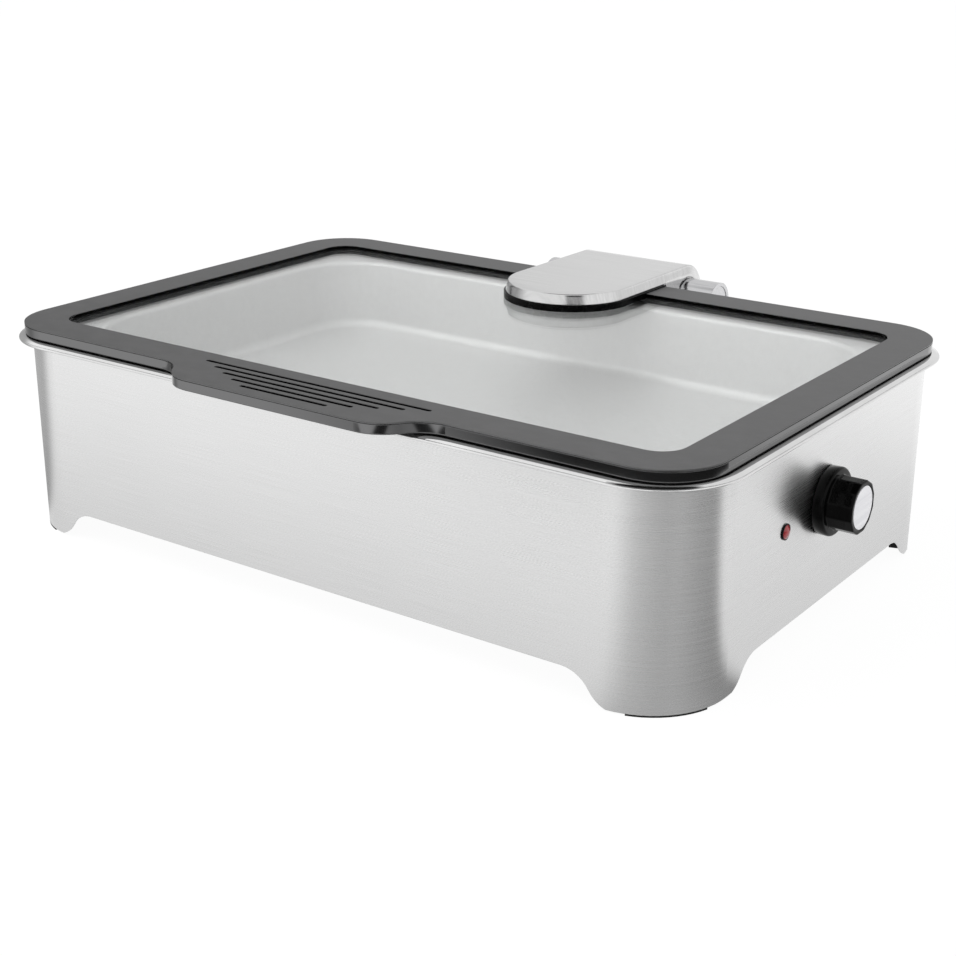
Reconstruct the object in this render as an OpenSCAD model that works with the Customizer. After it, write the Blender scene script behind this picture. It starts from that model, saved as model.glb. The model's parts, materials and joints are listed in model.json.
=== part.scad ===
// Electric chafing dish: a brushed steel body with a water basin, a food pan and a hinged glass lid.
// Sizes are in millimetres. The origin lies on the table under the middle of the whole dish,
// +X runs to the control knob, +Y to the hinge and +Z up. The modules place their pieces from the
// middle of the body, and at_middle moves them all.

/* [Body] */
// Length of the body, left to right
body_l = 580; // [540:1:640]
// Depth of the body, front to rear
body_d = 386; // [360:1:430]
// Height of the rim above the table
body_h = 149.4; // [146:0.2:160]
// Radius of the body's upright corners
body_r = 56; // [52:1:62]
// Thickness of the skirt's sheet
skirt_t = 1.2; // [0.8:0.1:1.8]
// Height of the skirt's lower edge at the front and rear
skirt_gap = 21.6; // [18:0.1:25]
// Height of the skirt's lower edge under the side walls
side_gap = 18.8; // [16:0.1:25]
// Radius of the curves beside each foot
foot_curve_r = 23.5; // [20:0.5:30]
// Distance from the end of the front wall to the middle of its foot curve
foot_reach_x = 63; // [61:0.5:76]
// Distance from the front end of a side wall to the middle of its foot curve
foot_reach_front = 76; // [62:0.5:80]
// Distance from the rear end of a side wall to the middle of its foot curve
foot_reach_rear = 62; // [60:0.5:80]

/* [Rubber feet] */
// Thickness of the rubber under the steel edge
foot_pad_t = 1.2; // [0.8:0.1:2]
// Height of the rubber inside the corner
foot_h = 10; // [8:1:16]
// Width of the rubber, measured inwards
foot_w = 12; // [8:1:16]
// Angle that a foot spans round its corner
foot_span = 54; // [40:1:80]

/* [Water basin] */
// Thickness of the basin's sheet
basin_t = 1; // [0.8:0.1:1.4]
// Reach of the rim past the skirt
rim_out = 8; // [6:0.5:10]
// Radius of the bead at the rim's edge
rim_bead_r = 0.9; // [0.7:0.1:1.6]
// Radius of the rim's droop
rim_bend_r = 7; // [5:0.5:9]
// Angle of the rim's droop
rim_droop = 44; // [15:1:50]
// Width of the flat rim inside the body's outline
rim_in = 6; // [5:0.5:8]
// Corner radius of the rim and its step, at the skirt's outline
rim_r = 51; // [49:1:56]
// Bend radius of the step below the rim
step_r = 2; // [1.5:0.1:2.3]
// Drop from the rim to the ledge that carries the pan
ledge_drop = 4.9; // [4.7:0.1:5.5]
// Distance from the body's outline to the well
well_inset = 33; // [31:0.5:35]
// Corner radius of the well
well_r = 50; // [44:1:56]
// Depth of the well below the ledge
well_depth = 74.5; // [70:0.5:78]
// Draft of the well's wall, in degrees
well_draft = 5; // [3:0.5:7]
// Bend radius at the well's floor
well_bend_r = 12; // [9:0.5:14]
// Bend radius at the well's top
well_top_r = 4; // [3:0.5:6]

/* [Food pan] */
// Thickness of the pan's sheet
pan_t = 1; // [0.8:0.1:1.2]
// Distance from the body's outline to the pan's wall
pan_inset = 34; // [33:0.5:40]
// Corner radius of the pan's mouth
pan_r = 58; // [54:1:64]
// Depth of the pan
pan_depth = 48.5; // [44:0.5:54]
// Draft of the pan's wall, in degrees
pan_draft = 8; // [5:0.5:12]
// Bend radius at the pan's floor
pan_bend_r = 14; // [10:0.5:16]
// Bend radius at the pan's mouth
pan_top_r = 8; // [6:0.5:10]
// Room between the pan's flange and the bend of the step round it
pan_room = 0.4; // [0.2:0.1:0.8]

/* [Lid] */
// Gap between the rim and the lid's frame
lid_gap = 0.9; // [0.6:0.1:1.5]
// Height of the lid's frame
frame_t = 7.7; // [7:0.1:9]
// Corner radius of the lid
lid_r = 43; // [38:1:48]
// Height of the fine seam round the frame's edge
seam_h = 0.6; // [0.4:0.1:1]
// Depth of the seam
seam_depth = 0.8; // [0.4:0.1:1.2]
// Distance of the seam below the frame's top
seam_drop = 0.8; // [0.6:0.1:1.5]
// Width of the frame round the window
frame_w = 30; // [27:0.5:33]
// Corner radius of the window
window_r = 18; // [14:1:22]
// Depth of the glass below the frame's top
glass_drop = 3.7; // [3.2:0.1:4.2]
// Thickness of the glass
glass_t = 4; // [3:0.1:4.5]
// Reach of the glass under the frame
glass_lap = 12; // [10:0.5:13]
// Thickness of the gasket between the glass and the frame
gasket_t = 0.8; // [0.6:0.1:1.2]
// Width of the gasket round the edge of the glass
gasket_side = 3; // [2:0.5:3]
// Thickness of the retaining ring under the glass
ring_t = 3.2; // [2.8:0.1:3.4]
// Distance from the lid's edge to the retaining ring
ring_inset = 10; // [9.5:0.1:11]
// Width of the seal under the retaining ring
seal_w = 8; // [6:0.5:10]
// Room between the seal and the pan's flange
seal_room = 0.3; // [0.2:0.1:0.5]

/* [Handle] */
// Length of the handle's straight front edge
handle_l = 144; // [120:2:170]
// Reach of the handle past the frame
handle_out = 26.7; // [20:0.1:32]
// Radius of the handle's curves
handle_r = 30; // [26:1:36]
// Number of finger grooves
groove_n = 5; // [3:1:5]
// Spacing of the finger grooves
groove_pitch = 7.5; // [6.5:0.1:7.8]
// Width of a finger groove
groove_w = 3.4; // [2.5:0.1:4]
// Depth of a finger groove
groove_depth = 2.4; // [1.5:0.1:2.8]
// Length of the longest groove
groove_l = 192; // [170:2:210]
// Change of length from one groove to the next
groove_step = 29.6; // [20:0.2:32]
// Distance from the frame's front edge back to the longest groove
groove_back = 15; // [14:0.5:18]
// Shift of the grooves along the handle, towards the knob
groove_shift = 3; // [0:0.5:4]

/* [Hinge] */
// Distance of the hinge axis behind the body
axis_back = 40; // [38:0.5:46]
// Depth of the hinge axis below the lid's top
axis_drop = 18; // [16:0.5:20]
// Radius of the fixed hinge barrels
barrel_r = 17; // [15:0.5:18]
// Distance between the outer ends of the barrels
barrel_span = 161; // [146:1:170]
// Radius of the hinge pin
pin_r = 5; // [4:0.5:6]
// Running clearance of the hinge pin
pin_fit = 0.05; // [0.02:0.01:0.08]
// Width of the hinge cap
cap_w = 103; // [96:1:110]
// Reach of the hinge cap over the lid, from the body's rear
cap_reach = 110.5; // [98:0.5:116]
// Radius of the cap's bend over the hinge
cap_bend_r = 27.5; // [27:0.5:30]
// Height of the cap's side
cap_side_h = 8.5; // [7:0.1:8.6]
// Reach of the hinge pad past the cap
pad_out = 1.2; // [0.5:0.1:2]
// Thickness of the cap's sheet
cap_t = 1.5; // [1:0.1:2]
// Drop of the cap's rear wall below the hinge axis
cap_rear_drop = 12; // [8:1:14]
// Thickness of the hinge leaf
leaf_t = 4; // [3:0.2:4.5]
// Radius of the leaf's knuckle
knuckle_r = 14; // [12:0.5:15]
// Gap between the leaf's knuckle and a fixed barrel
knuckle_gap = 2; // [1.6:0.1:2.5]
// Wall of the bushes in the knuckle
bush_t = 2; // [1.5:0.1:3]
// Thickness of the bracket's plate
bracket_t = 4; // [3:0.2:5]
// Height of the bracket's plate
bracket_h = 68; // [60:1:74]
// Radius of the hinge screws
hinge_screw_r = 2.5; // [2:0.1:3]
// Radius of the hinge screws' heads
hinge_head_r = 4.4; // [3.6:0.1:5]
// Height of the hinge screws' heads
hinge_head_h = 1.9; // [1.5:0.1:2.5]
// Thickness of the clamp plate under the glass
clamp_t = 2.4; // [2:0.1:2.8]

/* [Controls] */
// Place of the knob along the right wall
knob_y = -10; // [-40:1:20]
// Height of the knob's axis above the table
knob_z = 91; // [84:1:100]
// Radius of the knob's collar
collar_r = 23; // [20:0.5:26]
// Depth of the knob's collar
collar_d = 7.8; // [7:0.1:10]
// Radius of the knob's grip over the corners of its flats
grip_r = 18.1; // [16:0.1:19]
// Length of the knob's grip
grip_d = 17; // [14:0.5:22]
// Radius of the disc in the knob's end
face_r = 14.4; // [12:0.1:14.6]
// Gap between the knob and the wall
knob_gap = 1.2; // [0.8:0.1:2]
// Radius of the thermostat's shaft
shaft_r = 3; // [2.5:0.1:3.5]
// Running clearance of the shaft
shaft_fit = 0.05; // [0.02:0.01:0.08]
// Width and height of the thermostat's case
thermostat_w = 34; // [28:1:38]
// Depth of the thermostat's case
thermostat_d = 27; // [24:0.5:28]
// Distance from the knob to the lamp along the wall
lamp_offset = 57.4; // [48:0.2:70]
// Distance of the lamp below the knob's axis
lamp_drop = 4; // [0:0.5:10]
// Radius of the lamp's bezel
lamp_r = 5.4; // [5:0.1:7]

/* [Heater] */
// Radius of the heater's tube
heater_r = 4; // [3:0.1:4.5]
// Spacing of the heater's runs
heater_pitch = 60; // [50:1:66]
// Length of the heater's runs
heater_run = 330; // [300:5:350]
// Thickness of the heat spreader
spreader_t = 2; // [1.5:0.1:3]
// Length of the heat spreader
spreader_l = 410; // [400:2:420]
// Width of the heat spreader
spreader_w = 250; // [236:2:256]
// Height of the reflector above the table
reflector_z = 47; // [44:0.5:52]
// Thickness of the reflector's sheet
reflector_t = 0.8; // [0.6:0.1:1]

/* [Base] */
// Height of the base plate's underside above the table
base_z = 28; // [26:0.5:30]
// Thickness of the base plate
base_t = 1; // [0.8:0.1:1.5]
// Height of the base plate's lip
base_lip = 13; // [10:1:16]
// Bend radius of the base plate's lip
base_bend_r = 3; // [2:0.5:4]
// Length of a vent slot
vent_l = 44; // [30:1:50]
// Width of a vent slot
vent_w = 4; // [3:0.5:5]
// Spacing of the vent slots
vent_pitch = 14; // [10:1:16]
// Radius of the tie studs
stud_r = 2.5; // [2:0.1:3]
// Place of the cord gland along the rear wall
gland_x = 185; // [160:1:200]
// Radius of the cord gland's thread
gland_r = 8; // [6:0.5:9]
// Height of the cord gland above the base plate
gland_up = 30; // [28:1:36]
// Length of the cord gland outside the wall
gland_out = 14; // [10:1:18]
// Length of the cord gland's thread inside the wall
gland_in = 8; // [7:0.5:10]

/* [Small parts] */
// Corner radius of a nut for each unit of its thread's radius
hex_ratio = 1.7; // [1.5:0.05:1.9]
// Length of the heater's terminal pins
heater_pin_l = 16; // [10:1:20]
// Radius of the heater's terminal pins
heater_pin_r = 1.5; // [1:0.1:2]
// Thickness of the strip that clamps the heater
strip_t = 1; // [0.8:0.1:1.5]
// Width of the strip that clamps the heater
strip_w = 12; // [8:1:16]
// Length of the strip's foot
strip_foot = 8; // [6:0.5:10]
// Thickness of the nuts on the tie studs
stud_nut_t = 4; // [3:0.5:5]
// Wall of the thermostat's threaded bush
bush_wall = 2; // [1.5:0.1:2.5]
// Reach of the thermostat's bush past the wall
bush_out = 4; // [3.5:0.1:5]
// Thickness of the nut on the thermostat's bush
bush_nut_t = 2.5; // [2:0.1:3]
// Depth of the shaft's bearing in the thermostat
shaft_in = 20; // [14:1:22]
// Length of the flat on the shaft
flat_l = 8; // [6:0.5:10]
// Wall of the knob's end over the shaft
knob_end_t = 3; // [2:0.1:4]
// Thickness of the disc in the knob's end
face_t = 0.8; // [0.6:0.1:1.2]
// Bevel of the knob's collar
knob_bevel = 1.5; // [0.8:0.1:2]
// Radius of the thermostat's sensing bulb
bulb_r = 3; // [2:0.1:3.5]
// Length of the thermostat's sensing bulb
bulb_l = 60; // [40:1:80]
// Radius of the capillary tube
capillary_r = 1; // [0.8:0.1:1.3]
// Bend radius of the capillary tube
capillary_bend = 8; // [5:0.5:9]
// Radius of the thermal cutout
cutout_r = 12; // [8:0.5:14]
// Height of the thermal cutout
cutout_h = 6; // [4:0.5:8]
// Length of the cutout's tabs
tab_l = 7; // [4:0.5:8]
// Width of the cutout's tabs
tab_w = 6; // [4:0.5:7]
// Thickness of the lamp's bezel
lamp_bezel_t = 0.9; // [0.7:0.1:2]
// Length of the lamp's barrel
lamp_barrel_l = 20; // [14:1:24]
// Width of the lamp's bezel round its lens
lamp_edge = 0.7; // [0.5:0.1:2]
// Thickness of the clip behind the lamp
lamp_clip_t = 2; // [1.5:0.1:3]
// Length of the terminal block
block_l = 40; // [30:1:46]
// Width of the terminal block
block_w = 18; // [16:1:22]
// Height of the terminal block
block_h = 14; // [12:0.5:16]
// Radius of the wires
wire_r = 1.2; // [0.8:0.1:1.6]
// Bend radius of the wires
wire_bend = 8; // [6:0.5:9]
// Spacing of the wires
wire_pitch = 8; // [6:0.5:9]
// Thickness of the plate behind the rear wall
backing_t = 3; // [2:0.5:4]
// Depth of the disc in a barrel's end
barrel_cap_t = 4; // [3:0.5:6]
// Wall round the disc in a barrel's end
barrel_wall = 3; // [2:0.5:4]
// Radius of the screws in the retaining ring
ring_screw_r = 1.4; // [1.2:0.1:1.5]
// Reach of those screws into the frame
ring_screw_up = 4.5; // [3.5:0.1:4.8]
// Radius of the heads of those screws
ring_head_r = 2.2; // [2:0.1:2.3]
// Height of the heads of those screws
ring_head_t = 1.4; // [1:0.1:1.6]
// Length of a bush in the hinge's knuckle
bush_l = 20; // [14:1:26]
// Thickness of the pad between the glass and the clamp plate
clamp_pad_t = 0.8; // [0.5:0.1:1]

/* [Hidden] */
$fn = 72;

// Clearance of pieces that are fixed together
fit = 0.1;
// Overlap that keeps a cut clear of a face
cut = 1;
// Lap of two arcs that meet
arc_lap = 0.02;
// Gap between the cap and a bracket arm
arm_room = 2.5;
// Angles at which a bracket arm meets its barrel, above and below
arm_top_a = 115;
arm_low_a = -60;
// Gap between the cap and the hinge's round parts
notch_room = 1;
// Depth of a barrel cap below the barrel's end
barrel_sink = 0.6;
// Distance from the body's rear to the cap's deep sides, and their height above the axis
cap_side_back = 5;
cap_side_up = 10.2;
// Distance from the cap's side to the end of the knuckle, the leaf and the clamp plate
knuckle_margin = 7;
leaf_margin = 4;
clamp_margin = 6;
// Distance from the body's rear to the leaf's web
leaf_web_back = 12;
// Distance of the clamp screws from the nose's centre and from the clamp plate's rear
clamp_fore = 20;
clamp_aft = 10;
// Room of a screw in the glass
glass_hole_room = 1;
// Step from the window to the retaining ring, and from the window to the seal
ring_step = 1.5;
seal_step = 4;
// Edge of the knuckle outside a bush's flange
bush_edge = 1;
// Step from the gland's hexagon to its round collar
gland_step = 2;
// Radius of the lens dome, as a multiple of the radius of the lens
dome_ratio = 1.6;
// Number of poles in the terminal block
block_poles = 3;
hx = body_l / 2;
hy = body_d / 2;
lid_z = body_h + lid_gap;
lid_top = lid_z + frame_t;
ledge_z = body_h - ledge_drop;
pan_top = ledge_z + pan_t;
basin_under = ledge_z - basin_t - well_depth;
window_hx = hx - frame_w;
window_hy = hy - frame_w;
glass_top = lid_top - glass_drop;
glass_z = glass_top - glass_t;
pocket_lap = glass_lap + gasket_side;
ring_z = lid_z - ring_t;
seal_z = pan_top + seal_room;
axis_y = hy + axis_back;
axis_z = lid_top - axis_drop;
cap_top = axis_z + cap_bend_r;
cap_low = cap_top - cap_side_h;
cap_nose_y = hy - cap_reach + cap_w / 2;
spreader_under = basin_under - spreader_t;
heater_z = spreader_under - heater_r;
wall_in = hx - skirt_t;
base_top = base_z + base_t;
// Half length of the leaf's knuckle
knuckle_hl = cap_w / 2 - knuckle_margin;
// Places of the tie studs
stud_x = spreader_l / 2 + 5 * stud_r;
stud_y = spreader_w / 2 - 6 * stud_r;
lamp_y = knob_y - lamp_offset;
lamp_z = knob_z - lamp_drop;
// Run along the wall of one foot curve, two equal arcs that meet
function foot_run(gap) = sqrt(4 * foot_curve_r * gap - gap * gap);
// Run along the frame of one handle curve, two equal arcs that meet
handle_run = sqrt(4 * handle_r * handle_out - handle_out * handle_out);

// Forms that repeat

// A flat rectangle with round corners, from its half sizes
module rounded_rect(half_x, half_y, r) {
    square([2 * half_x, 2 * (half_y - r)], center = true);
    square([2 * (half_x - r), 2 * half_y], center = true);
    for (sx = [-1, 1], sy = [-1, 1])
        translate([sx * (half_x - r), sy * (half_y - r)]) circle(r);
}

// A flat ring between two round-cornered rectangles
module plate_ring(outer, inner, z, t) {
    translate([0, 0, z]) linear_extrude(t) difference() {
        rounded_rect(outer[0], outer[1], outer[2]);
        rounded_rect(inner[0], inner[1], inner[2]);
    }
}

// A profile carried round a round-cornered rectangle: x is the distance outwards from it, y the height
module carry_round(half_x, half_y, r) {
    for (side = [0, 1]) rotate(180 * side) {
        translate([half_x, 0, 0]) rotate([90, 0, 0])
            linear_extrude(2 * (half_y - r), center = true) children();
        rotate(90) translate([half_y, 0, 0]) rotate([90, 0, 0])
            linear_extrude(2 * (half_x - r), center = true) children();
    }
    for (quarter = [0:3]) {
        flip = quarter % 2;
        rotate(90 * quarter)
            translate([(flip ? half_y : half_x) - r, (flip ? half_x : half_y) - r, 0])
                rotate_extrude(angle = 90) translate([r, 0]) children();
    }
}

// A bent sheet seen from its edge: [length] is a straight run, [radius, angle] a bend to the left
module sheet_path(steps, t, i = 0) {
    if (i < len(steps)) {
        s = steps[i];
        if (len(s) == 1) {
            translate([0, -t / 2]) square([s[0], t]);
            translate([s[0], 0]) sheet_path(steps, t, i + 1);
        } else {
            turn = sign(s[1]);
            reach = 2 * (s[0] + t);
            half = s[1] / 2;
            translate([0, turn * s[0]]) {
                intersection() {
                    difference() {
                        circle(s[0] + t / 2);
                        circle(s[0] - t / 2);
                    }
                    rotate(half - turn * 90) polygon([[0, 0],
                        [reach, -reach * tan(abs(half))], [reach, reach * tan(abs(half))]]);
                }
                rotate(s[1]) translate([0, -turn * s[0]]) sheet_path(steps, t, i + 1);
            }
        }
    }
}

// A round rod along +Z: [length] is a straight run, [radius, angle, roll] a bend towards the rolled +X
module bent_rod(steps, r, i = 0) {
    if (i < len(steps)) {
        s = steps[i];
        if (len(s) == 1) {
            cylinder(h = s[0], r = r);
            translate([0, 0, s[0]]) bent_rod(steps, r, i + 1);
        } else rotate(s[2]) translate([s[0], 0, 0]) {
            mirror([1, 0, 0]) rotate([90, 0, 0]) rotate_extrude(angle = s[1]) translate([s[0], 0]) circle(r);
            rotate([0, s[1], 0]) translate([-s[0], 0, 0]) bent_rod(steps, r, i + 1);
        }
    }
}

// A cylinder along +X from its start
module rod_x(start, length, r) {
    translate(start) rotate([0, 90, 0]) cylinder(h = length, r = r);
}

// A cylinder along +Y from its start
module rod_y(start, length, r) {
    translate(start) rotate([-90, 0, 0]) cylinder(h = length, r = r);
}

// A flat profile in the YZ plane, given as x to the rear and y up, made thick along X
module slab_x(x, length) {
    translate([x, 0, 0]) rotate([90, 0, 90]) linear_extrude(length) children();
}

// A slot with round ends along X
module slot(length, w) {
    square([length - w, w], center = true);
    for (s = [-1, 1]) translate([s * (length - w) / 2, 0]) circle(w / 2);
}

// A drawn tray's wall and floor below a mouth: height is from floor to mouth, mid sheet
module drawn_tray(half_x, half_y, r, z, depth, draft, bend_r, top_r, t) {
    lean = 90 - draft;
    wall = (depth - (bend_r + top_r) * (1 - cos(lean))) / sin(lean);
    inset = (bend_r + top_r) * sin(lean) + wall * cos(lean);
    carry_round(half_x, half_y, r) translate([-inset, z - depth])
        sheet_path([[bend_r, lean], [wall], [top_r, -lean]], t);
    translate([0, 0, z - depth - t / 2]) linear_extrude(t)
        rounded_rect(half_x - inset, half_y - inset, r - inset);
}

// Sheet body

// The space under one wall between its feet, seen along the wall's thickness
module foot_gap_outline(from, to, gap) {
    run = foot_run(gap);
    translate([from + run / 2, -cut]) square([to - from - run, gap + cut]);
    for (end = [[from, 1], [to, 0]]) translate([end[0], 0]) mirror([end[1], 0]) {
        intersection() {
            translate([-run / 2, gap - foot_curve_r]) circle(foot_curve_r);
            translate([-run / 2 - cut, -cut]) square([run / 2 + cut, gap + 2 * cut]);
        }
        difference() {
            translate([-cut, -cut]) square([run / 2 + cut, gap / 2 + cut]);
            translate([run / 2, foot_curve_r]) circle(foot_curve_r);
        }
    }
}

// The places of the screws that hold the hinge bracket
hinge_bolts = [for (sx = [-1, 1], sz = [-1, 1]) [sx * cap_w / 4, sz * bracket_h / 4]];
bracket_mid = axis_z - bracket_h / 2;

module outer_housing() color("gainsboro") difference() {
    carry_round(hx, hy, body_r) translate([-skirt_t, foot_pad_t])
        square([skirt_t, body_h - basin_t - foot_pad_t]);
    rotate([90, 0, 0]) linear_extrude(2 * body_d, center = true)
        foot_gap_outline(foot_reach_x - hx, hx - foot_reach_x, skirt_gap);
    rotate([90, 0, 90]) linear_extrude(2 * body_l, center = true)
        foot_gap_outline(foot_reach_front - hy, hy - foot_reach_rear, side_gap);
    rod_x([wall_in - cut, knob_y, knob_z], skirt_t + 2 * cut, bush_r + fit);
    rod_x([wall_in - cut, lamp_y, lamp_z], skirt_t + 2 * cut, lamp_barrel_r + fit);
    rod_y([gland_x, hy - skirt_t - cut, gland_z], skirt_t + 2 * cut, gland_r + fit);
    for (b = hinge_bolts)
        rod_y([b[0], hy - skirt_t - cut, bracket_mid + b[1]], skirt_t + 2 * cut, hinge_screw_r + fit);
}

module water_basin() color("whitesmoke") {
    mid = ledge_z - basin_t / 2;
    flat = rim_out - rim_bead_r - rim_bend_r * sin(rim_droop) + rim_in - step_r;
    carry_round(hx, hy, rim_r) translate([-rim_in - step_r, mid]) {
        sheet_path([[step_r, 90], [ledge_drop - 2 * step_r], [step_r, -90], [flat],
            [rim_bend_r, -rim_droop]], basin_t);
        translate([2 * step_r + flat + rim_bend_r * sin(rim_droop),
            ledge_drop - rim_bend_r * (1 - cos(rim_droop))]) circle(rim_bead_r);
    }
    ledge_in = rim_in + step_r;
    plate_ring([hx - ledge_in, hy - ledge_in, rim_r - ledge_in],
        [hx - well_inset, hy - well_inset, well_r], ledge_z - basin_t, basin_t);
    drawn_tray(hx - well_inset, hy - well_inset, well_r, mid, well_depth,
        well_draft, well_bend_r, well_top_r, basin_t);
}

module food_pan() color("lightgray") {
    edge = rim_in + step_r + pan_room;
    plate_ring([hx - edge, hy - edge, rim_r - edge],
        [hx - pan_inset, hy - pan_inset, pan_r], ledge_z, pan_t);
    drawn_tray(hx - pan_inset, hy - pan_inset, pan_r, ledge_z + pan_t / 2, pan_depth,
        pan_draft, pan_bend_r, pan_top_r, pan_t);
}

module base_plate() color("silver") {
    edge = skirt_t + 2 * fit + base_t / 2;
    floor_in = edge + base_bend_r;
    vent_rows = floor(spreader_w / 2 / vent_pitch);
    carry_round(hx - edge, hy - edge, body_r - edge) translate([-base_bend_r, base_z + base_t / 2])
        sheet_path([[base_bend_r, 90], [base_lip - base_bend_r]], base_t);
    translate([0, 0, base_z]) linear_extrude(base_t) difference() {
        rounded_rect(hx - floor_in, hy - floor_in, body_r - floor_in);
        for (sx = [-1, 1], row = [0:vent_rows - 1])
            translate([sx * spreader_l / 4, (row - (vent_rows - 1) / 2) * vent_pitch]) slot(vent_l, vent_w);
        for (sx = [-1, 1], sy = [-1, 1]) translate([sx * stud_x, sy * stud_y]) circle(stud_r + fit);
    }
}

module rubber_feet() color("#202020") for (sx = [0, 1], sy = [0, 1]) mirror([sx, 0, 0]) mirror([0, sy, 0])
    translate([hx - body_r, hy - body_r, 0]) rotate((90 - foot_span) / 2) rotate_extrude(angle = foot_span)
        translate([body_r - skirt_t - fit - foot_w, 0]) {
            square([foot_w, foot_h]);
            square([foot_w + skirt_t + fit, foot_pad_t]);
        }

// Heater

module heat_spreader() color("silver") translate([0, 0, spreader_under]) linear_extrude(spreader_t)
    rounded_rect(spreader_l / 2, spreader_w / 2, heater_pitch / 2);

// Half width across the heater's outer runs
heater_hw = 1.5 * heater_pitch;

module heating_element() color("dimgray") {
    turn = heater_pitch / 2;
    translate([heater_run / 2, -heater_hw, heater_z]) rotate([0, -90, 0]) rotate(90)
        bent_rod([[heater_run], [turn, 180, 0], [heater_run], [turn, 180, 180],
            [heater_run], [turn, 180, 180], [heater_run]], heater_r);
    for (s = [-1, 1]) rod_x([heater_run / 2, s * heater_hw, heater_z], heater_pin_l, heater_pin_r);
}

module element_clamps() color("silver") for (sx = [-1, 1], run = [0:3])
    translate([sx * heater_run / 4 - strip_w / 2, run * heater_pitch - heater_hw, 0])
        slab_x(0, strip_w) translate([0, heater_z]) {
            gap = heater_r + fit;
            difference() {
                circle(gap + strip_t);
                circle(gap);
                translate([-2 * gap, 0]) square([4 * gap, 2 * gap]);
            }
            for (s = [0, 1]) mirror([s, 0]) {
                translate([gap, 0]) square([strip_t, heater_r]);
                translate([gap, heater_r - strip_t]) square([strip_foot, strip_t]);
            }
        }

module reflector() color("silver") translate([0, 0, reflector_z]) linear_extrude(reflector_t) difference() {
    rounded_rect(stud_x + 4 * stud_r, spreader_w / 2, heater_pitch / 2);
    for (sx = [-1, 1], sy = [-1, 1]) translate([sx * stud_x, sy * stud_y]) circle(stud_r + fit);
}

module tie_studs() color("silver") for (sx = [-1, 1], sy = [-1, 1])
    translate([sx * stud_x, sy * stud_y, base_z - stud_nut_t])
        cylinder(h = basin_under - base_z + stud_nut_t, r = stud_r);

module stud_spacers() color("lightgray") for (sx = [-1, 1], sy = [-1, 1])
    translate([sx * stud_x, sy * stud_y, 0])
    for (span = [[base_top, reflector_z], [reflector_z + reflector_t, basin_under]])
        translate([0, 0, span[0]]) difference() {
            cylinder(h = span[1] - span[0], r = 2 * stud_r);
            translate([0, 0, -cut]) cylinder(h = span[1] - span[0] + 2 * cut, r = stud_r + fit);
        }

module stud_nuts() color("silver") for (sx = [-1, 1], sy = [-1, 1])
    translate([sx * stud_x, sy * stud_y, base_z - stud_nut_t]) difference() {
        cylinder(h = stud_nut_t, r = hex_ratio * stud_r, $fn = 6);
        translate([0, 0, -cut]) cylinder(h = stud_nut_t + 2 * cut, r = stud_r + fit);
    }

// Controls

// Radius of the thermostat's threaded bush
bush_r = shaft_r + bush_wall;
// Radius of the lamp's lens and of its barrel
lamp_lens_r = lamp_r - lamp_edge;
lamp_barrel_r = lamp_lens_r - 2 * fit;

module thermostat() color("beige") difference() {
    union() {
        translate([wall_in - thermostat_d, knob_y - thermostat_w / 2, knob_z - thermostat_w / 2])
            cube([thermostat_d, thermostat_w, thermostat_w]);
        rod_x([wall_in - cut, knob_y, knob_z], cut + skirt_t + bush_out, bush_r);
    }
    rod_x([wall_in - shaft_in, knob_y, knob_z], shaft_in + skirt_t + bush_out + cut, shaft_r + shaft_fit);
}

module thermostat_nut() color("silver") difference() {
    translate([hx, knob_y, knob_z]) rotate([0, 90, 0])
        cylinder(h = bush_nut_t, r = hex_ratio * bush_r, $fn = 6);
    rod_x([hx - cut, knob_y, knob_z], bush_nut_t + 2 * cut, bush_r + fit);
}

module thermostat_bulb() color("peru") {
    start_x = wall_in - thermostat_d / 2;
    start_y = knob_y - thermostat_w / 2 - fit;
    bulb_x = heater_run / 2;
    bulb_y = -5 / 6 * heater_pitch;
    bulb_z = spreader_under - bulb_r - fit;
    translate([start_x, start_y, knob_z]) rotate([90, 0, 0])
        bent_rod([[start_y - bulb_y - capillary_bend], [capillary_bend, 90, -90],
            [knob_z - bulb_z - 2 * capillary_bend], [capillary_bend, 90, -90],
            [start_x - capillary_bend - bulb_x]], capillary_r);
    rod_x([bulb_x - bulb_l, bulb_y, bulb_z], bulb_l, bulb_r);
}

module thermal_cutout() color("tan") {
    translate([0, 0, spreader_under - cutout_h]) cylinder(h = cutout_h, r = cutout_r);
    for (s = [-1, 1]) translate([s * cutout_r / 2, 0, spreader_under - cutout_h - tab_l / 2])
        cube([reflector_t, tab_w, tab_l], center = true);
}

module lamp_holder() color("#303030") difference() {
    union() {
        rod_x([hx, lamp_y, lamp_z], lamp_bezel_t, lamp_r);
        rod_x([hx - lamp_barrel_l, lamp_y, lamp_z], lamp_barrel_l + cut / 2, lamp_barrel_r);
    }
    rod_x([hx + lamp_bezel_t / 2, lamp_y, lamp_z], lamp_bezel_t, lamp_lens_r);
}

module lamp_lens() color("firebrick") {
    dome = dome_ratio * lamp_lens_r;
    sink = sqrt(dome * dome - lamp_lens_r * lamp_lens_r);
    translate([hx + lamp_bezel_t / 2, lamp_y, lamp_z]) rotate([0, 90, 0]) rotate_extrude() intersection() {
        translate([0, lamp_bezel_t / 2 - sink]) circle(dome);
        square([lamp_lens_r - fit, dome]);
    }
}

module lamp_clip() color("silver") difference() {
    rod_x([wall_in - lamp_clip_t, lamp_y, lamp_z], lamp_clip_t, lamp_r + lamp_edge);
    rod_x([wall_in - lamp_clip_t - cut, lamp_y, lamp_z], lamp_clip_t + 2 * cut, lamp_barrel_r + fit);
}

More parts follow.
